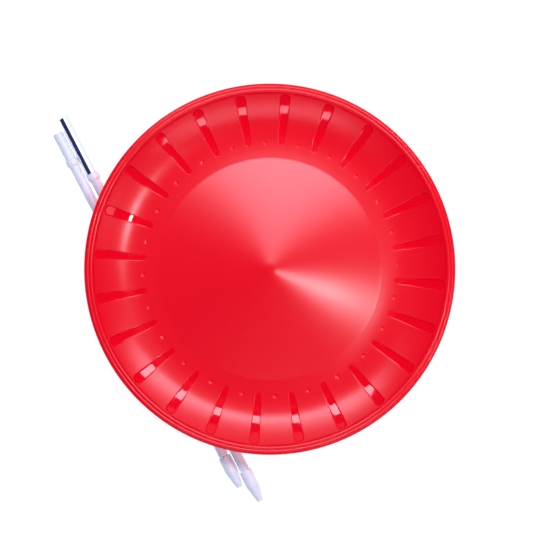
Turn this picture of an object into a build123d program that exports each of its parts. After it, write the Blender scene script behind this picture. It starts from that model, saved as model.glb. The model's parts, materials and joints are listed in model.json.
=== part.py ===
from build123d import *
import os
from math import asin, cos, degrees, radians, sin, sqrt, tan

# A juggling spinning plate standing on its foot ring, with its two-part stick taken apart and laid
# on the same surface, tucked under the plate's flank. Millimetres, +Z up, origin on the plate's
# axis at the resting surface.

# Plate: one thin injection moulding
plate_radius = 120.0
plate_wall = 1.9
cone_slope = 10.0           # degrees; the middle of the dish rises to the axis
cone_tip_flat = 2.4         # radius of the flat that the apex rounding starts from
cone_edge_radius = 72.7     # where the cone meets the gutter at a soft ridge
cone_edge_round = 15.0
gutter_height = 15.0        # dish surface at its lowest, where the flank begins
gutter_start_radius = 75.5  # the gutter falls gently outwards from here and is level at the flank
gutter_curve_radius = 100.0
flank_start_radius = 82.8
flank_curve_radius = 45.0   # the flank's lower arc starts level at the gutter
flank_ease_radius = 100.0   # where the flank eases into its upper, flatter arc
flank_upper_curve_radius = 105.0
flank_end_radius = 113.9
lip_bead_radii = (116.9, 119.0)   # outer edge of each of the two rounded beads on the lip
lip_bead_rise = (0.62, 0.33)      # how far each bead stands above the line joining its edges
lip_valley_rise = 0.6       # the groove between the beads lies above the flank's end by this much
lip_edge_round = 1.0
skirt_wall = 1.4
skirt_drop = 3.5            # the lip's outer edge turns down by this much

# Foot ring under the plate, which starts the spin and keeps the stick's tip inside
foot_outer_radius = 72.0
foot_inner_radius = 70.1
foot_draft = 0.3
seat_radius = 2.6           # small round pocket at the apex, where the stick's tip runs
seat_depth = 0.8

# Moulded decoration of the flank
groove_count = 24
groove_first_angle = 9.8
groove_inner_radius = 81.2
groove_outer_radius = 113.4
groove_inner_half_width = 1.9
groove_outer_half_width = 3.2
groove_depth = 0.6
dimple_first_angle = 2.3
dimple_ring_radius = 83.0
dimple_sphere_radius = 2.3
dimple_depth = 0.5

# Stick half: a tube with a tip cap pushed over one end and a joint plug pushed into the other
tube_radius = 3.25
tube_bore_radius = 2.35
tube_visible_length = 216.0
tube_in_tip = 10.0
tip_radius = 4.25
tip_length = 22.7
tip_straight_length = 10.8
tip_nose_radius = 1.9
collar_radius = 4.25
collar_length = 5.0
collar_taper_length = 1.6
collar_taper_depth = 0.7
spigot_radius = 3.42
spigot_length = 19.4
spigot_chamfer = 0.6
shank_length = 18.0
glue_gap = 0.02             # all round, between the glued pieces of a stick half

# Coupling sleeve: a turned tube bored from both ends, with a narrow land left in the middle
sleeve_radius = 3.75
sleeve_bore_radius = 3.45
sleeve_length = 41.0
sleeve_land_width = 1.2
sleeve_land_radius = 3.2

# Where the stick halves lie: side by side, along one line past the foot ring
stick_angle = -62.71        # degrees from +X to the direction from joint to tip
stick_a_distance = 75.6     # from the plate's axis to the axis of each half
stick_b_distance = 83.62
stick_a_shoulder = -110.3   # the collar's joint face, from the point nearest the plate's axis
stick_b_shoulder = -124.8

flank_ease_angle = degrees(asin((flank_ease_radius - flank_start_radius) / flank_curve_radius))
upper_centre_shift = flank_upper_curve_radius - flank_curve_radius
upper_centre_radius = flank_start_radius - upper_centre_shift * sin(radians(flank_ease_angle))
flank_end_angle = degrees(asin((flank_end_radius - upper_centre_radius) / flank_upper_curve_radius))


def flank_point(angle, depth=0.0):
    """Point of the plate's section on the flank, where it leans by an angle, at a depth below it."""
    centre_radius = flank_start_radius
    centre_height = gutter_height + flank_curve_radius
    reach = flank_curve_radius + depth
    if angle > flank_ease_angle:
        centre_radius = upper_centre_radius
        centre_height += upper_centre_shift * cos(radians(flank_ease_angle))
        reach = flank_upper_curve_radius + depth
    return (
        centre_radius + reach * sin(radians(angle)),
        centre_height - reach * cos(radians(angle)),
    )


def flank_arcs(end_angle, depth=0.0):
    """The flank's lower and upper arc, from the gutter up to a lean, at a depth below its surface."""
    arcs = []
    for start, end in ((0, flank_ease_angle), (flank_ease_angle, end_angle)):
        middle = (start + end) / 2
        ends = (flank_point(start, depth), flank_point(end, depth))
        arcs.append(ThreePointArc(ends[0], flank_point(middle, depth), ends[1]))
    return arcs


def gutter_point(radius):
    """Point of the plate's section on the gutter, which is an arc that ends level at the flank."""
    reach = flank_start_radius - radius
    return (radius, gutter_height + gutter_curve_radius - sqrt(gutter_curve_radius**2 - reach**2))


gutter_start_slope = (flank_start_radius - gutter_start_radius) / gutter_curve_radius
gutter_start_height = gutter_point(gutter_start_radius)[1]
cone_edge_height = gutter_start_height + (gutter_start_radius - cone_edge_radius) * gutter_start_slope
cone_apex_height = cone_edge_height + (cone_edge_radius - cone_tip_flat) * tan(radians(cone_slope))


def bead_arc(start, end, rise):
    """Rounded bead between two points of the lip, standing proud of the line that joins them."""
    middle = ((start[0] + end[0]) / 2, (start[1] + end[1]) / 2 + rise)
    return ThreePointArc(start, middle, end)


def plate_section():
    """Half section of the plate, from its axis out: dish, lip, skirt, flank's back and foot."""
    cone_fall = tan(radians(cone_slope))
    cone_back_height = cone_apex_height - plate_wall / cos(radians(cone_slope))
    foot_corner_height = cone_back_height - (foot_inner_radius - cone_tip_flat) * cone_fall
    gutter_back_height = gutter_height - plate_wall

    dish = FilletPolyline(
        (0, cone_apex_height),
        (cone_tip_flat, cone_apex_height),
        (cone_edge_radius, cone_edge_height),
        gutter_point(gutter_start_radius),
        radius=[26.0, cone_edge_round],
    )
    gutter_middle_radius = (gutter_start_radius + flank_start_radius) / 2
    gutter = ThreePointArc(
        gutter_point(gutter_start_radius),
        gutter_point(gutter_middle_radius),
        flank_point(0),
    )
    flank_end_height = flank_point(flank_end_angle)[1]
    lip_valley_height = flank_end_height + lip_valley_rise
    first_valley = (lip_bead_radii[0], lip_valley_height)
    second_valley = (lip_bead_radii[1], lip_valley_height)
    first_bead = bead_arc(flank_point(flank_end_angle), first_valley, lip_bead_rise[0])
    second_bead = bead_arc(first_valley, second_valley, lip_bead_rise[1])
    shoulder = RadiusArc(second_valley, (plate_radius, lip_valley_height - lip_edge_round), lip_edge_round)

    skirt_foot_height = lip_valley_height - skirt_drop
    lip_back_radius, lip_back_height = flank_point(flank_end_angle, plate_wall)
    skirt = Polyline(
        (plate_radius, lip_valley_height - lip_edge_round),
        (plate_radius, skirt_foot_height),
        (plate_radius - skirt_wall, skirt_foot_height),
        (plate_radius - skirt_wall, lip_back_height),
        (lip_back_radius, lip_back_height),
    )
    foot = FilletPolyline(
        flank_point(0, plate_wall),
        (foot_outer_radius + foot_draft, gutter_back_height),
        (foot_outer_radius, 0),
        (foot_inner_radius, 0),
        (foot_inner_radius - foot_draft, foot_corner_height),
        (cone_tip_flat, cone_back_height),
        (0, cone_back_height),
        radius=[2.0, 0.6, 0.6, 1.5, 24.0],
    )
    axis_line = Line((0, cone_back_height), (0, cone_apex_height))
    top = [dish, gutter, *flank_arcs(flank_end_angle), first_bead, second_bead, shoulder]
    back = [skirt, *flank_arcs(flank_end_angle, plate_wall), foot, axis_line]
    return make_face(Curve() + top + back)


def groove_cutter():
    """One tapered, round-ended groove along +X, as deep as groove_depth below the flank."""
    inner = Pos(groove_inner_radius + groove_inner_half_width, 0) * Circle(groove_inner_half_width)
    outer = Pos(groove_outer_radius - groove_outer_half_width, 0) * Circle(groove_outer_half_width)
    plan = make_hull(inner.edges() + outer.edges())
    prism = extrude(plan, cone_apex_height * 2)
    air = 4.0
    past_the_end = flank_end_angle + 3
    inner_top = (gutter_start_radius, gutter_height + air)
    inner_bottom = (gutter_start_radius, gutter_height - groove_depth)
    band_outline = [
        Line(inner_bottom, flank_point(0, groove_depth)),
        *flank_arcs(past_the_end, groove_depth),
        Line(flank_point(past_the_end, groove_depth), flank_point(past_the_end, -air)),
        *flank_arcs(past_the_end, -air),
        Line(flank_point(0, -air), inner_top),
        Line(inner_top, inner_bottom),
    ]
    band = revolve(Plane.XZ * make_face(Curve() + band_outline), Axis.Z, 360)
    return band & prism


def dimple_cutter():
    """Sphere that leaves one small round dimple in the flank, on +X."""
    height = gutter_height - dimple_depth + dimple_sphere_radius
    return Pos(dimple_ring_radius, 0, height) * Sphere(dimple_sphere_radius)


def make_plate():
    """The plate with its grooves, dimples and the tip's seat."""
    plate = revolve(Plane.XZ * plate_section(), Axis.Z, 360)
    pitch = 360 / groove_count
    groove = groove_cutter()
    dimple = dimple_cutter()
    grooves = [Rot(0, 0, groove_first_angle + i * pitch) * groove for i in range(groove_count)]
    dimples = [Rot(0, 0, dimple_first_angle + i * pitch) * dimple for i in range(groove_count)]
    seat_top = cone_apex_height - plate_wall + seat_depth
    seat = Pos(0, 0, seat_top - seat_radius) * Sphere(seat_radius)
    return plate - grooves - dimples - seat


def turned(points, radii):
    """Solid of revolution about Z whose outline runs through the points, rounded at the corners."""
    outline = FilletPolyline(*points, radius=radii)
    closing = Polyline(points[-1], (0, points[-1][1]), (0, points[0][1]), points[0])
    return revolve(Plane.XZ * make_face(Curve() + [outline, closing]), Axis.Z, 360)


def make_tip():
    """Tip cap: straight sleeve over the tube's end, then a taper to a small rounded nose."""
    start = collar_length + tube_visible_length
    end = start + tip_length
    body = turned(
        [
            (tip_radius - 0.4, start),
            (tip_radius, start + 0.4),
            (tip_radius, start + tip_straight_length),
            (tip_nose_radius + 0.25, end - 0.6),
            (tip_nose_radius - 0.9, end),
        ],
        [0.3, 8.0, 0.6],
    )
    socket = Cylinder(
        tube_radius + glue_gap,
        tube_in_tip,
        align=(Align.CENTER, Align.CENTER, Align.MIN),
    )
    return body - Pos(0, 0, start) * socket


def make_tube():
    """White tube of a stick half, from the collar to the bottom of the tip's socket."""
    length = tube_visible_length + tube_in_tip
    ring = Circle(tube_radius) - Circle(tube_bore_radius)
    return Pos(0, 0, collar_length) * extrude(ring, length)


def make_plug():
    """Joint plug: spigot for the coupling sleeve, collar, and shank glued inside the tube."""
    shank_radius = tube_bore_radius - glue_gap
    collar_foot_radius = collar_radius - collar_taper_depth
    collar_break = 0.25
    outline = Polyline(
        (0, -spigot_length),
        (spigot_radius - spigot_chamfer, -spigot_length),
        (spigot_radius, -spigot_length + spigot_chamfer),
        (spigot_radius, 0),
        (collar_radius - collar_break, 0),
        (collar_radius, collar_break),
        (collar_radius, collar_length - collar_taper_length),
        (collar_foot_radius, collar_length),
        (shank_radius, collar_length),
        (shank_radius, collar_length + shank_length),
        (0, collar_length + shank_length),
        (0, -spigot_length),
    )
    return revolve(Plane.XZ * make_face(outline), Axis.Z, 360)


def make_sleeve():
    """Coupling sleeve, pushed onto a spigot as far as the collar."""
    half = (sleeve_length - sleeve_land_width) / 2
    outside = Circle(sleeve_radius)
    open_ring = extrude(outside - Circle(sleeve_bore_radius), half)
    land_ring = extrude(outside - Circle(sleeve_land_radius), sleeve_land_width)
    sleeve = open_ring + Pos(0, 0, half) * land_ring + Pos(0, 0, half + sleeve_land_width) * open_ring
    return Pos(0, 0, -sleeve_length) * sleeve


def stick_place(distance, shoulder):
    """Plane whose origin is the collar's joint face and whose Z runs along the stick to its tip."""
    along = Vector(1, 0, 0).rotate(Axis.Z, stick_angle)
    across = Vector(-1, 0, 0).rotate(Axis.Z, stick_angle + 90)
    origin = across * distance + along * shoulder + Vector(0, 0, collar_radius)
    return Plane(origin=origin, x_dir=(0, 0, 1), z_dir=along)


def make_parts():
    """Every piece in its place, by node name."""
    place_a = stick_place(stick_a_distance, stick_a_shoulder)
    place_b = stick_place(stick_b_distance, stick_b_shoulder)
    parts = {"plate": make_plate(), "coupling_sleeve": place_a * make_sleeve()}
    for half, place in (("a", place_a), ("b", place_b)):
        parts[f"stick_{half}_tip"] = place * make_tip()
        parts[f"stick_{half}_tube"] = place * make_tube()
        parts[f"stick_{half}_joint_plug"] = place * make_plug()
    return parts


os.makedirs("parts", exist_ok=True)
for name, shape in make_parts().items():
    shape.label = name
    export_step(shape, f"parts/{name}.step")
    print(name, round(shape.volume, 1), "mm3")
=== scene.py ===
"""A juggling spinning plate standing on its foot ring, with its two-part stick laid under it.

Blender works in metres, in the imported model's frame. The sizes below are millimetres, and `MM`
turns them to metres when a mesh is made.
"""

import json
import logging
import math
from collections.abc import Sequence
from dataclasses import dataclass, field
from enum import Enum
from typing import Any

import bmesh
import bpy
import numpy as np
from mathutils import Matrix, Vector
from numpy.typing import NDArray


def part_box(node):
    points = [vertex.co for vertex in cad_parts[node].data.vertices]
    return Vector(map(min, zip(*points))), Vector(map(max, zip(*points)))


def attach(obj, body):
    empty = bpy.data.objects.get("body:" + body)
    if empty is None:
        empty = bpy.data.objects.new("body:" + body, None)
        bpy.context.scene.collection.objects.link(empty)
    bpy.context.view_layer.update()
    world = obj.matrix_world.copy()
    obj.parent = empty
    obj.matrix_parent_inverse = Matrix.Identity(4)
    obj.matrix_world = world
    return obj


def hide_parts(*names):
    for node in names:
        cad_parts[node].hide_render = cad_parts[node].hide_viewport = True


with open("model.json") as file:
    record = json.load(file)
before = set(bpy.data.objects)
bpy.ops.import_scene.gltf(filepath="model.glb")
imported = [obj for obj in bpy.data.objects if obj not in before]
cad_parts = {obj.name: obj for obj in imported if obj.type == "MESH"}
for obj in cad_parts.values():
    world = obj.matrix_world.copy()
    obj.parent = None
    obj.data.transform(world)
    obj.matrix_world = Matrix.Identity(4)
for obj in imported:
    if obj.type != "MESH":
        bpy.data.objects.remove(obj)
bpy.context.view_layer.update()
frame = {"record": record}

MM = 0.001
MERGE_MM = 0.002
SLIVER_MM = 0.0005
Floats = NDArray[np.float64]
Corner = tuple[float, float]

log = logging.getLogger("spinning_plate")


class Slot(Enum):
    """The record's material slots."""

    RED = "red_plastic"
    WHITE = "white_plastic"
    CHROME = "chrome"


class Skin(Enum):
    """Which of the plate's finishes a patch of its surface takes, by material index."""

    SANDED = 0
    POLISHED = 1


def linear(hex_colour: str) -> tuple[float, float, float, float]:
    """Turn an sRGB hex colour into linear RGBA.

    Args:
        hex_colour: Six hex digits after a hash.

    Returns:
        The four linear channels, with alpha one.
    """
    channels = np.array([int(hex_colour[i : i + 2], 16) / 255 for i in (1, 3, 5)])
    out = np.where(channels <= 0.04045, channels / 12.92, ((channels + 0.055) / 1.055) ** 2.4)
    return (float(out[0]), float(out[1]), float(out[2]), 1.0)


def add_node(
    tree: bpy.types.NodeTree,
    kind: str,
    settings: dict[str, Any] | None = None,
    values: dict[str, Any] | None = None,
    links: dict[str, bpy.types.NodeSocket] | None = None,
) -> bpy.types.Node:
    """Add one node to a tree.

    Args:
        tree: The node tree.
        kind: The node's type name, without its ShaderNode prefix.
        settings: The node's own properties.
        values: Constants for its input sockets, by socket name.
        links: Output sockets to join to its inputs, by input name.

    Returns:
        The new node.
    """
    node = tree.nodes.new("ShaderNode" + kind)
    for name, value in (settings or {}).items():
        setattr(node, name, value)
    for name, value in (values or {}).items():
        node.inputs[name].default_value = value
    for name, socket in (links or {}).items():
        tree.links.new(socket, node.inputs[name])
    return node


@dataclass(frozen=True)
class Finish:
    """A material: what the real one is, how it was made, and the size of its surface grain."""

    name: str
    colour: str
    roughness: float
    metallic: float = 0.0
    ior: float = 1.45
    grain_mm: float = 1.0
    grain_height_mm: float = 0.0
    grain_detail: float = 2.0
    cloud_mm: float = 30.0
    cloud_roughness: float = 0.0

    def build(self) -> bpy.types.Material:
        """Make the material: grain as a bump, and slow clouds of slightly rougher surface.

        Returns:
            The new material.
        """
        material = bpy.data.materials.new(self.name)
        material.use_nodes = True
        tree = material.node_tree
        tree.nodes.clear()
        shader = add_node(
            tree,
            "BsdfPrincipled",
            values={
                "Base Color": linear(self.colour),
                "Metallic": self.metallic,
                "IOR": self.ior,
                "Roughness": self.roughness,
            },
        )
        place = add_node(tree, "TexCoord").outputs["Object"]
        if self.grain_height_mm > 0:
            grain = add_node(
                tree,
                "TexNoise",
                values={"Scale": 1 / (self.grain_mm * MM), "Detail": self.grain_detail},
                links={"Vector": place},
            )
            bump = add_node(
                tree,
                "Bump",
                values={"Strength": 1.0, "Distance": self.grain_height_mm * MM},
                links={"Height": grain.outputs["Fac"]},
            )
            tree.links.new(bump.outputs["Normal"], shader.inputs["Normal"])
        cloud = add_node(
            tree,
            "TexNoise",
            values={"Scale": 1 / (self.cloud_mm * MM), "Detail": 3.0},
            links={"Vector": place},
        )
        spread = add_node(
            tree,
            "MapRange",
            values={
                "To Min": self.roughness - self.cloud_roughness,
                "To Max": self.roughness + self.cloud_roughness,
            },
            links={"Value": cloud.outputs["Fac"]},
        )
        tree.links.new(spread.outputs["Result"], shader.inputs["Roughness"])
        add_node(tree, "OutputMaterial", links={"Surface": shader.outputs["BSDF"]})
        return material


# Polypropylene moulded against a sand-blasted tool: a saturated red under a soft, broad sheen.
# The real grain is finer than this one, which is drawn coarser so that it doesn't vanish.
SANDED_RED = Finish(
    name="polypropylene_moulded_sanded_red",
    colour="#FF001A",
    roughness=0.24,
    ior=1.49,
    grain_mm=0.7,
    grain_height_mm=0.008,
    cloud_roughness=0.01,
)

# The same moulding where the tool was polished: clear, narrow reflections in the grooves.
POLISHED_RED = Finish(
    name="polypropylene_moulded_polished_red",
    colour="#FF001A",
    roughness=0.05,
    ior=1.49,
    grain_mm=4.0,
    grain_height_mm=0.002,
    cloud_roughness=0.01,
)

# ABS turned or moulded with a plain satin skin: a cool white with a wide soft highlight.
SATIN_WHITE = Finish(
    name="abs_moulded_satin_white",
    colour="#EEFAFE",
    roughness=0.33,
    ior=1.53,
    grain_mm=0.6,
    grain_height_mm=0.002,
    cloud_roughness=0.04,
)

# Extruded ABS tube: the same cool white, a little duller.
EXTRUDED_WHITE = Finish(
    name="abs_extruded_white",
    colour="#EBF8FE",
    roughness=0.38,
    ior=1.53,
    grain_mm=0.8,
    grain_height_mm=0.002,
    cloud_roughness=0.05,
)

# Bright chrome on a drawn steel tube: a clear mirror with the faintest polishing haze.
CHROME_PLATE = Finish(
    name="steel_chrome_plated_bright",
    colour="#EDEFF3",
    roughness=0.06,
    metallic=1.0,
    ior=1.5,
    grain_mm=6.0,
    grain_height_mm=0.001,
    cloud_roughness=0.02,
)


def rounded_outline(corners: Sequence[Corner], radii: Sequence[float], steps: int = 6) -> Floats:
    """Sample an outline whose corners are rounded.

    Each rounded corner is an arc tangent to both of its sides, sampled at equal angles. A row of
    points stands a short way off each arc's ends, so that smooth shading stays flat between them.

    Args:
        corners: Corner points, in order.
        radii: One radius per corner; zero keeps the corner sharp.
        steps: Segments in each arc.

    Returns:
        The points, two columns.
    """
    margin = 0.15
    points = np.asarray(corners, dtype=float)
    rows: list[Floats] = []
    for index, radius in enumerate(radii):
        here = points[index]
        if index in (0, len(points) - 1):
            rows.append(here[None])
            continue
        back = points[index - 1] - here
        ahead = points[index + 1] - here
        back_unit = back / np.linalg.norm(back)
        ahead_unit = ahead / np.linalg.norm(ahead)
        if radius == 0:
            rows.append(np.array([here + back_unit * margin / 3, here, here + ahead_unit * margin / 3]))
            continue
        half = math.acos(float(np.clip(back_unit @ ahead_unit, -1, 1))) / 2
        reach = radius / math.tan(half)
        middle = (back_unit + ahead_unit) / np.linalg.norm(back_unit + ahead_unit)
        centre = here + middle * radius / math.sin(half)
        start = here + back_unit * reach - centre
        turn = math.pi - 2 * half
        side = math.copysign(1.0, float(back_unit[0] * ahead_unit[1] - back_unit[1] * ahead_unit[0]))
        angle = -side * np.linspace(0, turn, steps + 1)
        arc = centre + np.stack(
            [
                start[0] * np.cos(angle) - start[1] * np.sin(angle),
                start[0] * np.sin(angle) + start[1] * np.cos(angle),
            ],
            axis=1,
        )
        before = here + back_unit * (reach + margin)
        after = here + ahead_unit * (reach + margin)
        rows.append(np.vstack([before[None], arc, after[None]]))
    return np.vstack(rows)


def subdivided(outline: Floats, longest: float) -> Floats:
    """Split every segment of an outline that is longer than a limit into equal parts.

    Args:
        outline: Points, two columns.
        longest: The longest segment that may stay.

    Returns:
        The denser outline.
    """
    rows = [outline[:1]]
    for start, end in zip(outline[:-1], outline[1:]):
        parts = max(1, math.ceil(float(np.linalg.norm(end - start)) / longest))
        share = np.linspace(0, 1, parts + 1)[1:, None]
        rows.append(start + (end - start) * share)
    return np.vstack(rows)


@dataclass
class Patch:
    """A grid of points of a surface, rows by columns, that closes on itself if it wraps."""

    points: Floats
    skin: Skin = Skin.SANDED
    wraps: bool = False


def grid_faces(rows: int, columns: int, wraps: bool) -> NDArray[np.int64]:
    """Index the quads of a grid of points.

    Args:
        rows: Number of rows.
        columns: Number of columns.
        wraps: Whether the last column joins the first.

    Returns:
        Four vertex indices per quad.
    """
    row, column = np.meshgrid(
        np.arange(rows - 1), np.arange(columns if wraps else columns - 1), indexing="ij"
    )
    following = (column + 1) % columns
    quads = np.stack(
        [
            row * columns + column,
            (row + 1) * columns + column,
            (row + 1) * columns + following,
            row * columns + following,
        ],
        axis=-1,
    )
    return quads.reshape(-1, 4)


def build_piece(
    name: str,
    patches: Sequence[Patch],
    materials: Sequence[bpy.types.Material],
    body: str,
    nodes: Sequence[str],
) -> bpy.types.Object:
    """Join patches into one closed mesh in millimetres, and make it the piece for some nodes.

    Points that coincide are merged, faces that shrink to nothing are removed, and normals are
    turned outwards.

    Args:
        name: The piece's name.
        patches: Surface patches whose edges meet.
        materials: One material per skin index in use.
        body: The body the piece rides on.
        nodes: The CAD nodes it stands for.

    Returns:
        The new object.
    """
    vertices: list[Floats] = []
    faces: list[NDArray[np.int64]] = []
    skins: list[NDArray[np.int64]] = []
    first = 0
    for patch in patches:
        rows, columns = patch.points.shape[:2]
        quads = grid_faces(rows, columns, patch.wraps) + first
        vertices.append(patch.points.reshape(-1, 3))
        faces.append(quads)
        skins.append(np.full(len(quads), patch.skin.value))
        first += rows * columns
    mesh = bpy.data.meshes.new(name)
    mesh.from_pydata((np.vstack(vertices) * MM).tolist(), [], np.vstack(faces).tolist())
    for material in materials:
        mesh.materials.append(material)
    mesh.polygons.foreach_set("material_index", np.concatenate(skins))
    mesh.update()
    work = bmesh.new()
    work.from_mesh(mesh)
    bmesh.ops.remove_doubles(work, verts=work.verts, dist=MERGE_MM * MM)
    bmesh.ops.dissolve_degenerate(work, edges=work.edges, dist=SLIVER_MM * MM)
    bmesh.ops.recalc_face_normals(work, faces=work.faces)
    open_edges = sum(1 for edge in work.edges if len(edge.link_faces) != 2)
    work.to_mesh(mesh)
    work.free()
    mesh.polygons.foreach_set("use_smooth", np.ones(len(mesh.polygons), dtype=bool))
    mesh.update()
    piece = bpy.data.objects.new(name, mesh)
    bpy.context.scene.collection.objects.link(piece)
    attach(piece, body)
    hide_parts(*nodes)
    log.info("%s: %d faces, %d open edges", name, len(mesh.polygons), open_edges)
    return piece


@dataclass
class Plate:
    """The plate: a thin moulding with a coned middle, a grooved flank, a beaded lip and a foot ring."""

    wall: float = 1.9
    cone_slope: float = 10.0
    cone_tip_flat: float = 2.4
    cone_tip_round: float = 26.0
    cone_edge_radius: float = 72.7
    cone_edge_round: float = 15.0
    gutter_start_radius: float = 75.5
    gutter_curve: float = 100.0
    flank_start_radius: float = 82.8
    flank_curve: float = 45.0
    flank_ease_radius: float = 100.0
    flank_upper_curve: float = 105.0
    flank_end_radius: float = 113.9
    bead_radii: tuple[float, float] = (116.9, 119.0)
    bead_rise: tuple[float, float] = (0.62, 0.33)
    lip_rise: float = 0.6
    lip_edge_round: float = 1.0
    skirt_wall: float = 1.4
    skirt_drop: float = 3.5
    foot_outer_radius: float = 72.0
    foot_inner_radius: float = 70.1
    foot_draft: float = 0.3
    foot_round: float = 0.6
    foot_outer_fillet: float = 2.0
    foot_inner_fillet: float = 1.5
    cone_back_round: float = 8.0
    skirt_round: float = 0.35
    skirt_fillet: float = 0.5
    seat_radius: float = 2.6
    seat_depth: float = 0.8
    groove_count: int = 24
    groove_first_angle: float = 9.8
    groove_inner_radius: float = 81.2
    groove_outer_radius: float = 113.4
    groove_inner_half: float = 1.9
    groove_outer_half: float = 3.2
    groove_depth: float = 0.6
    groove_fade: float = 13.0
    groove_end_share: float = 0.12
    dimple_ring_radius: float = 83.0
    dimple_sphere: float = 2.3
    dimple_depth: float = 0.5
    decor_start_radius: float = 79.0
    half_columns: int = 4
    straight_rows: int = 20
    arc_rows: int = 4
    apex_height: float = field(init=False)
    gutter_height: float = field(init=False)
    radius: float = field(init=False)

    def __post_init__(self) -> None:
        """Take the plate's radius and height from the frame, and work the gutter's height out."""
        _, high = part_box("plate")
        self.radius = high.x / MM
        self.apex_height = high.z / MM
        self.gutter_height = 0.0
        self.gutter_height = self.apex_height - self._cone_top_above_gutter()

    def _cone_top_above_gutter(self) -> float:
        """Height of the cone's top above the gutter's lowest point."""
        fall = (self.cone_edge_radius - self.cone_tip_flat) * math.tan(math.radians(self.cone_slope))
        return fall + self._cone_edge_height()

    def _cone_edge_height(self) -> float:
        """Height of the cone's edge above the gutter's lowest point, on the gutter's tangent."""
        slope = (self.flank_start_radius - self.gutter_start_radius) / self.gutter_curve
        start = float(self.surface_height(np.array([self.gutter_start_radius]))[0]) - self.gutter_height
        return start + (self.gutter_start_radius - self.cone_edge_radius) * slope

    @property
    def ease_angle(self) -> float:
        """Lean of the flank, in radians, where its lower arc meets its upper arc."""
        return math.asin((self.flank_ease_radius - self.flank_start_radius) / self.flank_curve)

    @property
    def end_angle(self) -> float:
        """Lean of the flank, in radians, at its outer end."""
        shift = self.flank_upper_curve - self.flank_curve
        centre = self.flank_start_radius - shift * math.sin(self.ease_angle)
        return math.asin((self.flank_end_radius - centre) / self.flank_upper_curve)

    @property
    def rim_height(self) -> float:
        """Height of the lip's outer edge, where the plate is widest."""
        flank_end = self.flank_arc(np.array([self.end_angle]))[0]
        return float(flank_end[1]) + self.lip_rise - self.lip_edge_round

    def flank_arc(self, angle: Floats, depth: float = 0.0) -> Floats:
        """Points of the flank by its lean: two arcs that share a tangent where they meet.

        A point of an arc is its centre plus its radius, turned by the lean from straight down.

        Args:
            angle: Leans in radians.
            depth: How far under the surface.

        Returns:
            Radius and height of each point.
        """
        upper = angle > self.ease_angle
        shift = np.where(upper, self.flank_upper_curve - self.flank_curve, 0.0)
        reach = self.flank_curve + shift + depth
        centre_radius = self.flank_start_radius - shift * math.sin(self.ease_angle)
        centre_height = self.gutter_height + self.flank_curve + shift * math.cos(self.ease_angle)
        return np.stack(
            [centre_radius + reach * np.sin(angle), centre_height - reach * np.cos(angle)], axis=-1
        )

    def surface_height(self, radius: Floats) -> Floats:
        """Height of the dish's surface from the gutter to the flank's end.

        The gutter is an arc that ends level; the flank is two arcs, and a circle's height is its
        centre's height less the root of its radius squared less its reach squared.

        Args:
            radius: Distances from the axis.

        Returns:
            The height at each of them.
        """
        shift = self.flank_upper_curve - self.flank_curve
        upper_centre = self.flank_start_radius - shift * math.sin(self.ease_angle)
        upper_height = self.flank_curve + shift * math.cos(self.ease_angle)

        def bowl(curve: float, centre: float, height: float) -> Floats:
            """Height of a circle's lower half."""
            return height - np.sqrt(np.clip(curve**2 - (radius - centre) ** 2, 0, None))

        gutter = bowl(self.gutter_curve, self.flank_start_radius, self.gutter_curve)
        lower = bowl(self.flank_curve, self.flank_start_radius, self.flank_curve)
        upper = bowl(self.flank_upper_curve, upper_centre, upper_height)
        flank = np.where(radius > self.flank_ease_radius, upper, lower)
        return self.gutter_height + np.where(radius < self.flank_start_radius, gutter, flank)

    def place(self, radius: Floats, angle: Floats, height: Floats) -> Floats:
        """Turn radius, angle in degrees and height into points."""
        turn = np.radians(angle)
        return np.stack(np.broadcast_arrays(radius * np.cos(turn), radius * np.sin(turn), height), -1)

    @property
    def columns(self) -> Floats:
        """Angles, in degrees, of the columns of points all the way round."""
        count = self.groove_count * 4 * self.half_columns
        return self.groove_first_angle + np.arange(count) * 360 / count

    def revolved(self, outline: Floats, skin: Skin) -> Patch:
        """Turn an outline of radius and height about the axis, with the plate's columns."""
        points = self.place(outline[:, :1], self.columns[None], outline[:, 1:])
        return Patch(points, skin, wraps=True)

    def middle(self) -> Floats:
        """Outline of the cone, its edge and the gutter, up to where the decoration starts."""
        edge = self.gutter_height + self._cone_edge_height()
        start_radius = self.gutter_start_radius
        corners = [
            (0.0, self.apex_height),
            (self.cone_tip_flat, self.apex_height),
            (self.cone_edge_radius, edge),
            (start_radius, float(self.surface_height(np.array([start_radius]))[0])),
        ]
        cone = rounded_outline(corners, [0, self.cone_tip_round, self.cone_edge_round, 0], 8)
        radius = np.linspace(start_radius, self.decor_start_radius, 4)[1:]
        gutter = np.stack([radius, self.surface_height(radius)], axis=1)
        return subdivided(np.vstack([cone, gutter]), 7.0)

    def side_radii(self) -> Floats:
        """Distances from the axis of the rows that grooves and dimples share at their borders."""
        inner = self.groove_inner_radius + self.groove_inner_half
        outer = self.groove_outer_radius - self.groove_outer_half
        low = np.linspace(self.decor_start_radius, inner, self.arc_rows + 1)
        straight = np.linspace(inner, outer, self.straight_rows + 1)
        high = np.linspace(outer, self.flank_end_radius, self.arc_rows + 1)
        return np.concatenate([low, straight[1:], high[1:]])

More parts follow.
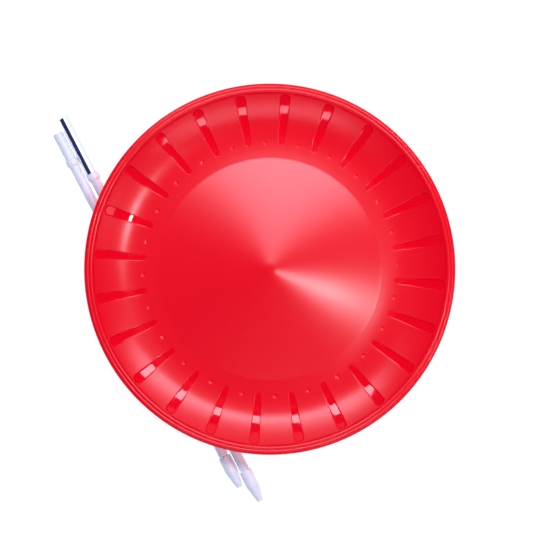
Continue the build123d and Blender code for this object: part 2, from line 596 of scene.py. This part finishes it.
    def groove_patches(self, centre_angles: Floats) -> list[Patch]:
        """Surface of every groove and of the flank round it.

        The groove's plan is a tapered slot: the hull of two circles. Its outline is the circles'
        centre line plus the half width along the outline's normal, so an offset copy only
        changes the half width. Rings run from the block's border to the outline, down the
        rounded wall, and over the floor to the centre line. The depth fades in from the inner end
        by a smooth step of the radius.

        Args:
            centre_angles: Angle of each groove's centre line, in degrees.

        Returns:
            The flank round the grooves, and the grooves' floors and walls.
        """
        inner = self.groove_inner_radius + self.groove_inner_half
        outer = self.groove_outer_radius - self.groove_outer_half
        taper = math.asin((self.groove_outer_half - self.groove_inner_half) / (outer - inner))
        side_normal = math.pi / 2 + taper
        arc = self.half_columns + self.arc_rows
        normal = np.concatenate(
            [
                np.linspace(math.pi, side_normal, arc + 1),
                np.full(self.straight_rows - 1, side_normal),
                np.linspace(side_normal, 0, arc + 1),
            ]
        )
        along = np.concatenate([np.zeros(arc), np.linspace(0, 1, self.straight_rows + 1), np.ones(arc)])
        centre = inner + along * (outer - inner)
        half = self.groove_inner_half + along * (self.groove_outer_half - self.groove_inner_half)

        half_block = 90.0 / self.groove_count
        steps = np.linspace(0, half_block, self.half_columns + 1)
        sides = self.side_radii()
        border_radius = np.concatenate(
            [np.full(self.half_columns, sides[0]), sides, np.full(self.half_columns, sides[-1])]
        )
        border_angle = np.concatenate([steps[:-1], np.full(len(sides), half_block), steps[-2::-1]])

        def ring(inset: float, share: float) -> tuple[Floats, Floats]:
            """Radius and angle of the outline moved inwards, then a share of the way to its line."""
            reach = (half - inset) * (1 - share)
            x = centre + reach * np.cos(normal)
            y = reach * np.sin(normal)
            return np.hypot(x, y), np.degrees(np.arctan2(y, x))

        rim_radius, rim_angle = ring(0.0, 0.0)
        outside = np.array([1.0, 0.66, 0.36, 0.14, 0.0])[:, None]
        field_radius = rim_radius + (border_radius - rim_radius) * outside
        field_angle = rim_angle + (border_angle - rim_angle) * outside
        insets = ((0.0, 0.0), (0.05, 0.06), (0.12, 0.3), (0.18, 0.5), (0.24, 0.58), (0.32, 0.6))
        rings = [ring(inset, 0.0) for inset, _ in insets] + [ring(0.32, share) for share in (0.12, 0.5, 1.0)]
        drops = np.array([drop for _, drop in insets] + [self.groove_depth] * 3)[:, None]
        slot_radius = np.array([radius for radius, _ in rings])
        slot_angle = np.array([angle for _, angle in rings])

        share = np.clip((slot_radius - self.groove_inner_radius) / self.groove_fade, 0, 1)
        fade = share * share * (3 - 2 * share)
        drops = drops * (self.groove_end_share + (1 - self.groove_end_share) * fade)
        field_height = self.surface_height(field_radius)
        slot_height = self.surface_height(slot_radius) - drops
        patches: list[Patch] = []
        for centre_angle in centre_angles:
            for hand in (1, -1):
                turned = centre_angle + hand * field_angle
                patches.append(Patch(self.place(field_radius, turned, field_height)))
                turned = centre_angle + hand * slot_angle
                slot = self.place(slot_radius, turned, slot_height)
                patches.append(Patch(slot, Skin.POLISHED))
        return patches

    def dimple_patches(self, centre_angles: Floats) -> list[Patch]:
        """Surface of every dimple and of the flank between two grooves.

        Near a dimple the rings go from a square border to the dimple's circle along straight
        lines from its centre, and down a sphere's surface to the centre. Outwards of that
        border, the flank is a plain grid of radius and angle.

        Args:
            centre_angles: Angle of each dimple's centre, in degrees.

        Returns:
            The flank's grids and the dimples' bowls.
        """
        sides = self.side_radii()
        half_block = 90.0 / self.groove_count
        steps = np.linspace(-half_block, half_block, 2 * self.half_columns + 1)
        top = int(np.searchsorted(sides, 2 * self.dimple_ring_radius - sides[0]))
        near = sides[: top + 1]
        border_radius = np.concatenate(
            [
                np.full(len(steps) - 1, near[0]),
                near[:-1],
                np.full(len(steps) - 1, near[-1]),
                near[:0:-1],
            ]
        )
        border_angle = np.concatenate(
            [
                steps[:-1],
                np.full(len(near) - 1, half_block),
                steps[:0:-1],
                np.full(len(near) - 1, -half_block),
            ]
        )
        x = border_radius * np.cos(np.radians(border_angle)) - self.dimple_ring_radius
        y = border_radius * np.sin(np.radians(border_angle))
        far = np.hypot(x, y)
        bearing = np.arctan2(y, x)
        mouth = math.sqrt(self.dimple_sphere**2 - (self.dimple_sphere - self.dimple_depth) ** 2)
        outside = np.array([1.0, 0.6, 0.25, 0.06])[:, None]
        reach = np.vstack(
            [
                mouth + (far - mouth) * outside,
                np.array([1.04, 0.93, 0.8, 0.6, 0.35, 0.0])[:, None] * mouth * np.ones_like(far),
            ]
        )
        inside = np.clip(reach, 0, mouth)
        sphere = self.dimple_depth - self.dimple_sphere + np.sqrt(self.dimple_sphere**2 - inside**2)
        blunt = np.where(reach > mouth, 0.0, np.minimum(sphere, self.dimple_depth))
        ring_x = self.dimple_ring_radius + reach * np.cos(bearing)
        ring_y = reach * np.sin(bearing)
        radius = np.hypot(ring_x, ring_y)
        angle = np.degrees(np.arctan2(ring_y, ring_x))
        height = self.surface_height(radius) - blunt
        mouth_row = len(outside)
        patches: list[Patch] = []
        for centre_angle in centre_angles:
            ring_points = self.place(radius, centre_angle + angle, height)
            patches.append(Patch(ring_points[: mouth_row + 1], Skin.SANDED, wraps=True))
            patches.append(Patch(ring_points[mouth_row:], Skin.SANDED, wraps=True))
            rows = sides[top:, None]
            flank = self.place(rows, centre_angle + steps[None], self.surface_height(rows))
            patches.append(Patch(flank))
        return patches

    def bead(self, start: Corner, end: Corner, rise: float) -> Floats:
        """Points of a bead: a parabola over the line between its ends, steep at both."""
        share = np.linspace(0, 1, 9)
        share = 0.5 - 0.5 * np.cos(share * math.pi)
        line = np.asarray(start) + (np.asarray(end) - np.asarray(start)) * share[:, None]
        line[:, 1] += 4 * rise * share * (1 - share)
        return line

    def rim_and_back(self) -> Floats:
        """Outline from the flank's end over the lip and skirt and back under to the seat."""
        flank_end = self.flank_arc(np.array([self.end_angle]))[0]
        valley = float(flank_end[1]) + self.lip_rise
        first = self.bead(tuple(flank_end), (self.bead_radii[0], valley), self.bead_rise[0])
        second = self.bead((self.bead_radii[0], valley), (self.bead_radii[1], valley), self.bead_rise[1])
        turn = np.linspace(math.pi / 2, 0, 7)
        shoulder = np.stack(
            [
                self.radius - self.lip_edge_round + self.lip_edge_round * np.cos(turn),
                valley - self.lip_edge_round + self.lip_edge_round * np.sin(turn),
            ],
            axis=1,
        )
        lip_back = self.flank_arc(np.array([self.end_angle]), self.wall)[0]
        skirt_inside = self.radius - self.skirt_wall
        skirt_foot = valley - self.skirt_drop
        skirt = rounded_outline(
            [
                (self.radius, valley - self.lip_edge_round),
                (self.radius, skirt_foot),
                (skirt_inside, skirt_foot),
                (skirt_inside, float(lip_back[1])),
                (float(lip_back[0]), float(lip_back[1])),
            ],
            [0, self.skirt_round, self.skirt_round, self.skirt_fillet, 0],
            4,
        )
        flank_back = self.flank_arc(np.linspace(self.end_angle, 0, 14), self.wall)
        slope = math.tan(math.radians(self.cone_slope))
        cone_back = self.apex_height - self.wall / math.cos(math.radians(self.cone_slope))
        corner = cone_back - (self.foot_inner_radius - self.cone_tip_flat) * slope
        seat_top = self.apex_height - self.wall + self.seat_depth
        mouth = math.sqrt(self.seat_radius**2 - (self.seat_radius - self.seat_depth) ** 2)
        foot = rounded_outline(
            [
                (self.flank_start_radius, self.gutter_height - self.wall),
                (self.foot_outer_radius + self.foot_draft, self.gutter_height - self.wall),
                (self.foot_outer_radius, 0.0),
                (self.foot_inner_radius, 0.0),
                (self.foot_inner_radius - self.foot_draft, corner),
                (self.cone_tip_flat + 1.0, cone_back - slope),
                (mouth, cone_back - 0.02),
            ],
            [
                0,
                self.foot_outer_fillet,
                self.foot_round,
                self.foot_round,
                self.foot_inner_fillet,
                self.cone_back_round,
                0,
            ],
        )
        dip = np.linspace(math.asin(mouth / self.seat_radius), 0, 7)[1:]
        seat = np.stack(
            [self.seat_radius * np.sin(dip), seat_top - self.seat_radius * (1 - np.cos(dip))], axis=1
        )
        outline = np.vstack([first, second[1:], shoulder[1:], skirt[1:], flank_back, foot[1:], seat])
        return subdivided(outline, 9.0)

    def build(self) -> bpy.types.Object:
        """Make the plate as one closed piece.

        Returns:
            The plate's object.
        """
        pitch = 360 / self.groove_count
        grooves = self.groove_first_angle + np.arange(self.groove_count) * pitch
        patches = [self.revolved(self.middle(), Skin.SANDED)]
        patches += self.groove_patches(grooves)
        patches += self.dimple_patches(grooves + pitch / 2)
        patches.append(self.revolved(self.rim_and_back(), Skin.SANDED))
        materials = [SANDED_RED.build(), POLISHED_RED.build()]
        return build_piece("spinning_plate", patches, materials, "plate", ["plate"])


@dataclass
class StickAxis:
    """The line a stick half lies along, from its collar's joint face towards its tip."""

    shoulder: Floats
    along: Floats
    segments: int = 72

    def turned(self, outline: Floats) -> Patch:
        """Revolve an outline of radius and distance along the line about the line.

        Args:
            outline: Radius and distance, in millimetres.

        Returns:
            The surface, closed round the line.
        """
        up = np.array([0.0, 0.0, 1.0])
        side = np.cross(self.along, up)
        angle = np.linspace(0, 2 * math.pi, self.segments, endpoint=False)
        spoke = np.cos(angle)[:, None] * up + np.sin(angle)[:, None] * side
        radius = outline[:, 0][:, None, None]
        distance = outline[:, 1][:, None, None]
        return Patch(self.shoulder + self.along * distance + spoke[None] * radius, wraps=True)


def mount(name: str) -> dict[str, Any]:
    """Find a mount of the record by its name."""
    return next(entry for entry in frame["record"]["mounts"] if entry["name"] == name)


def stick_axis(mount_name: str, beyond: float) -> StickAxis:
    """Line of a stick half, worked out from a mount on it.

    Args:
        mount_name: A mount whose axis points away from the tip, and whose place is its middle.
        beyond: From the mount's end away from the tip to the collar's joint face, in millimetres.

    Returns:
        The line.
    """
    entry = mount(mount_name)
    along = -np.asarray(entry["axis"], dtype=float)
    along /= np.linalg.norm(along)
    place = np.asarray(entry["pos_m"], dtype=float) / MM
    half = float(entry["dims"]["length_mm"]) / 2
    return StickAxis(place + along * (beyond - half), along)


@dataclass
class StickHalf:
    """One half of the stick: a tube with a tip cap at one end and a joint plug at the other."""

    letter: str
    axis: StickAxis
    tube_radius: float = 3.25
    bore_radius: float = 2.35
    visible_length: float = 216.0
    in_tip: float = 10.0
    tip_radius: float = 4.25
    tip_length: float = 22.7
    tip_straight: float = 10.8
    tip_nose: float = 1.9
    collar_radius: float = 4.25
    collar_length: float = 5.0
    collar_taper: float = 1.6
    collar_taper_depth: float = 0.7
    spigot_radius: float = 3.42
    spigot_length: float = 19.4
    shank_length: float = 18.0
    gap: float = 0.02
    seam_width: float = 0.9
    seam_depth: float = 0.55

    def tip_outline(self) -> Floats:
        """Outline of the tip cap: mouth, rolled edge, straight sleeve, taper and blunt nose."""
        start = self.collar_length + self.visible_length
        end = start + self.tip_length
        socket = self.tube_radius + self.gap
        return rounded_outline(
            [
                (0.0, start + self.in_tip),
                (socket, start + self.in_tip),
                (socket, start),
                (self.tip_radius - 0.1, start),
                (self.tip_radius, start + self.tip_straight),
                (self.tip_nose + 0.25, end - 0.6),
                (self.tip_nose - 0.9, end),
                (0.0, end),
            ],
            [0, 0.1, 0.1, 0.15, 8.0, 0.8, 0.5, 0],
            8,
        )

    def tube_outline(self) -> Floats:
        """Outline of the tube, bored right through, with a narrow shadow gap before the tip cap."""
        start = self.collar_length
        cap = start + self.visible_length
        end = cap + self.in_tip
        neck = self.tube_radius - self.seam_depth
        corners = [
            (self.bore_radius, (start + end) / 2),
            (self.bore_radius, start),
            (self.tube_radius, start),
            (self.tube_radius, cap - self.seam_width),
            (neck, cap - self.seam_width),
            (neck, cap),
            (self.tube_radius, cap),
            (self.tube_radius, end),
            (self.bore_radius, end),
            (self.bore_radius, (start + end) / 2),
        ]
        rounds = [0, 0.15, 0.2, 0.08, 0.1, 0.1, 0.05, 0.2, 0.15, 0]
        return subdivided(rounded_outline(corners, rounds, 4), 30.0)

    def plug_outline(self) -> Floats:
        """Outline of the joint plug: spigot, collar with a taper behind it, and hidden shank."""
        shank = self.bore_radius - self.gap
        corners = [
            (0.0, -self.spigot_length),
            (self.spigot_radius, -self.spigot_length),
            (self.spigot_radius, 0.0),
            (self.collar_radius, 0.0),
            (self.collar_radius, self.collar_length - self.collar_taper),
            (self.collar_radius - self.collar_taper_depth, self.collar_length),
            (shank, self.collar_length),
            (shank, self.collar_length + self.shank_length),
            (0.0, self.collar_length + self.shank_length),
        ]
        return subdivided(rounded_outline(corners, [0, 0.7, 0.1, 0.35, 0.5, 0.25, 0.1, 0.2, 0]), 12.0)

    def build(self) -> list[bpy.types.Object]:
        """Make the half's three pieces.

        Returns:
            The tip, the tube and the plug.
        """
        body = f"stick_half_{self.letter}"
        moulded = SATIN_WHITE.build()
        extruded = EXTRUDED_WHITE.build()
        pieces = []
        for part, outline, material in (
            ("tip", self.tip_outline(), moulded),
            ("tube", self.tube_outline(), extruded),
            ("joint_plug", self.plug_outline(), moulded),
        ):
            node = f"stick_{self.letter}_{part}"
            patches = [self.axis.turned(outline)]
            pieces.append(build_piece(f"{node}_turned", patches, [material], body, [node]))
        return pieces


@dataclass
class Sleeve:
    """The chromed coupling sleeve, bored from both ends with a narrow land in the middle."""

    axis: StickAxis
    radius: float = 3.75
    bore: float = 3.45
    land: float = 3.2
    land_width: float = 1.2
    length: float = 41.0

    def outline(self) -> Floats:
        """Outline of the sleeve, from the land round both ends and back."""
        half_land = self.land_width / 2
        middle = -self.length / 2
        corners = [
            (self.land, middle),
            (self.land, middle - half_land),
            (self.bore, middle - half_land),
            (self.bore, -self.length),
            (self.radius, -self.length),
            (self.radius, 0.0),
            (self.bore, 0.0),
            (self.bore, middle + half_land),
            (self.land, middle + half_land),
            (self.land, middle),
        ]
        rounds = [0, 0.05, 0.05, 0.08, 0.2, 0.2, 0.08, 0.05, 0.05, 0]
        return subdivided(rounded_outline(corners, rounds, 4), 8.0)

    def build(self) -> bpy.types.Object:
        """Make the sleeve.

        Returns:
            The sleeve's object.
        """
        patches = [self.axis.turned(self.outline())]
        materials = [CHROME_PLATE.build()]
        nodes = ["coupling_sleeve"]
        return build_piece("coupling_sleeve_turned", patches, materials, "sleeve", nodes)


def direction(zenith: float, azimuth: float) -> Vector:
    """Unit vector by its angles, in degrees, from straight up and from +X."""
    tilt, turn = math.radians(zenith), math.radians(azimuth)
    return Vector((math.sin(tilt) * math.cos(turn), math.sin(tilt) * math.sin(turn), math.cos(tilt)))


@dataclass
class Softbox:
    """A rectangular soft light that faces the object from a direction."""

    name: str
    zenith: float
    azimuth: float
    distance: float
    width: float
    height: float
    radiance: float
    colour: str = "#FFFFFF"
    glossy: bool = True

    def build(self, only: Sequence[bpy.types.Object] = ()) -> bpy.types.Object:
        """Add the light, with the power that gives its face the stated radiance.

        Args:
            only: The pieces it lights; none means everything.

        Returns:
            The light's object.
        """
        data = bpy.data.lights.new(self.name, "AREA")
        data.shape = "RECTANGLE"
        data.size = self.width
        data.size_y = self.height
        data.energy = self.radiance * math.pi * self.width * self.height
        data.color = linear(self.colour)[:3]
        light = bpy.data.objects.new(self.name, data)
        out = direction(self.zenith, self.azimuth)
        across = direction(90, self.azimuth + 90)
        up = out.cross(across)
        turn = Matrix((across, up, out)).transposed()
        light.matrix_world = Matrix.Translation(out * self.distance) @ turn.to_4x4()
        light.visible_glossy = self.glossy
        light.visible_camera = False
        bpy.context.scene.collection.objects.link(light)
        if only:
            receivers = bpy.data.collections.new(f"{self.name}_receivers")
            for piece in only:
                receivers.objects.link(piece)
            light.light_linking.receiver_collection = receivers
        log.info("light %s", self.name)
        return light


@dataclass
class Studio:
    """Pale floor, soft lights, plain surroundings and the camera."""

    rim_height: float
    camera_height: float = 0.875
    field_width: float = 0.3554
    camera_place: tuple[float, float] = (0.0034, -0.00375)
    sensor: float = 36.0
    floor_half: float = 1.6
    floor_points: int = 9
    floor_glow: float = 0.9
    softboxes: list[Softbox] = field(
        default_factory=lambda: [
            Softbox("rear_bank", 28.3, 82.5, 1.0, 1.04, 0.19, 10.6, "#F6EEFF"),
            Softbox("rear_wall", 48.0, 84.0, 1.0, 1.0, 0.25, 0.5, "#F6EEFF"),
            Softbox("front_bank", 37.4, 274.5, 1.0, 0.84, 0.09, 5.2, "#F6EEFF"),
            Softbox("key", 23.5, -20.0, 1.0, 0.06, 0.06, 125.0, "#FBF6FF"),
            Softbox("key_glow", 45.0, -20.0, 1.0, 0.25, 0.12, 1.6, "#FBF6FF"),
            Softbox("ceiling_glow", 13.0, 45.0, 1.5, 0.55, 0.55, 0.16, "#F6EEFF"),
            Softbox("overhead_fill", 0.0, 0.0, 1.6, 3.0, 3.0, 0.31, "#F4F6FF", glossy=False),
        ]
    )
    sleeve_card: Softbox = field(
        default_factory=lambda: Softbox("sleeve_card", 40.0, 27.0, 0.9, 1.2, 1.95, 1.0)
    )

    def build_floor(self) -> None:
        """Lay a white floor that stays white to its edge."""
        share = np.linspace(-self.floor_half, self.floor_half, self.floor_points)
        x, y = np.meshgrid(share, share, indexing="ij")
        points = np.stack([x, y, np.zeros_like(x)], axis=-1).reshape(-1, 3)
        mesh = bpy.data.meshes.new("floor")
        faces = grid_faces(self.floor_points, self.floor_points, False)
        mesh.from_pydata(points.tolist(), [], faces[:, ::-1].tolist())
        floor = bpy.data.objects.new("floor", mesh)
        bpy.context.scene.collection.objects.link(floor)
        material = bpy.data.materials.new("paper_matt_white")
        material.use_nodes = True
        shader = material.node_tree.nodes["Principled BSDF"]
        shader.inputs["Base Color"].default_value = linear("#8C8C8C")
        shader.inputs["Roughness"].default_value = 0.9
        shader.inputs["Specular IOR Level"].default_value = 0.0
        shader.inputs["Emission Color"].default_value = linear("#FFFFFF")
        shader.inputs["Emission Strength"].default_value = self.floor_glow
        mesh.materials.append(material)

    def build_world(self) -> None:
        """Surround the set with a pale backdrop, and with a dim blue for what the pieces reflect."""
        world = bpy.data.worlds.new("studio")
        bpy.context.scene.world = world
        world.use_nodes = True
        tree = world.node_tree
        tree.nodes.clear()
        seen = add_node(tree, "LightPath").outputs["Is Camera Ray"]
        dim = add_node(tree, "Background", values={"Color": linear("#4358A8"), "Strength": 0.35})
        pale = add_node(tree, "Background", values={"Color": linear("#F7F8FC"), "Strength": 1.0})
        mix = add_node(tree, "MixShader")
        tree.links.new(seen, mix.inputs[0])
        tree.links.new(dim.outputs[0], mix.inputs[1])
        tree.links.new(pale.outputs[0], mix.inputs[2])
        add_node(tree, "OutputWorld", links={"Surface": mix.outputs[0]})

    def build_camera(self) -> None:
        """Put the camera straight above, looking down."""
        scene = bpy.context.scene
        data = bpy.data.cameras.new("camera")
        data.sensor_width = self.sensor
        data.lens = self.sensor * (self.camera_height - self.rim_height) / self.field_width
        camera = bpy.data.objects.new("camera", data)
        camera.location = (*self.camera_place, self.camera_height)
        scene.collection.objects.link(camera)
        scene.camera = camera

    def build(self, sleeve: bpy.types.Object) -> None:
        """Set up the whole studio.

        Args:
            sleeve: The chromed sleeve, which a white card of its own lights.
        """
        self.build_floor()
        self.build_world()
        for softbox in self.softboxes:
            softbox.build()
        self.sleeve_card.build([sleeve])
        self.build_camera()
        bpy.context.scene.view_settings.view_transform = "Standard"
        log.info("studio")


def main() -> None:
    """Build every piece, then the studio."""
    logging.basicConfig(level=logging.INFO, format="%(name)s: %(message)s")
    plate = Plate()
    plate.build()
    axis_a = stick_axis("sleeve_socket", Sleeve.length)
    axis_b = stick_axis("stick_b_spigot", float(mount("stick_b_spigot")["dims"]["length_mm"]))
    StickHalf("a", axis_a).build()
    StickHalf("b", axis_b).build()
    sleeve = Sleeve(axis_a).build()
    Studio(plate.rim_height * MM).build(sleeve)


if __name__ == "__main__":
    main()
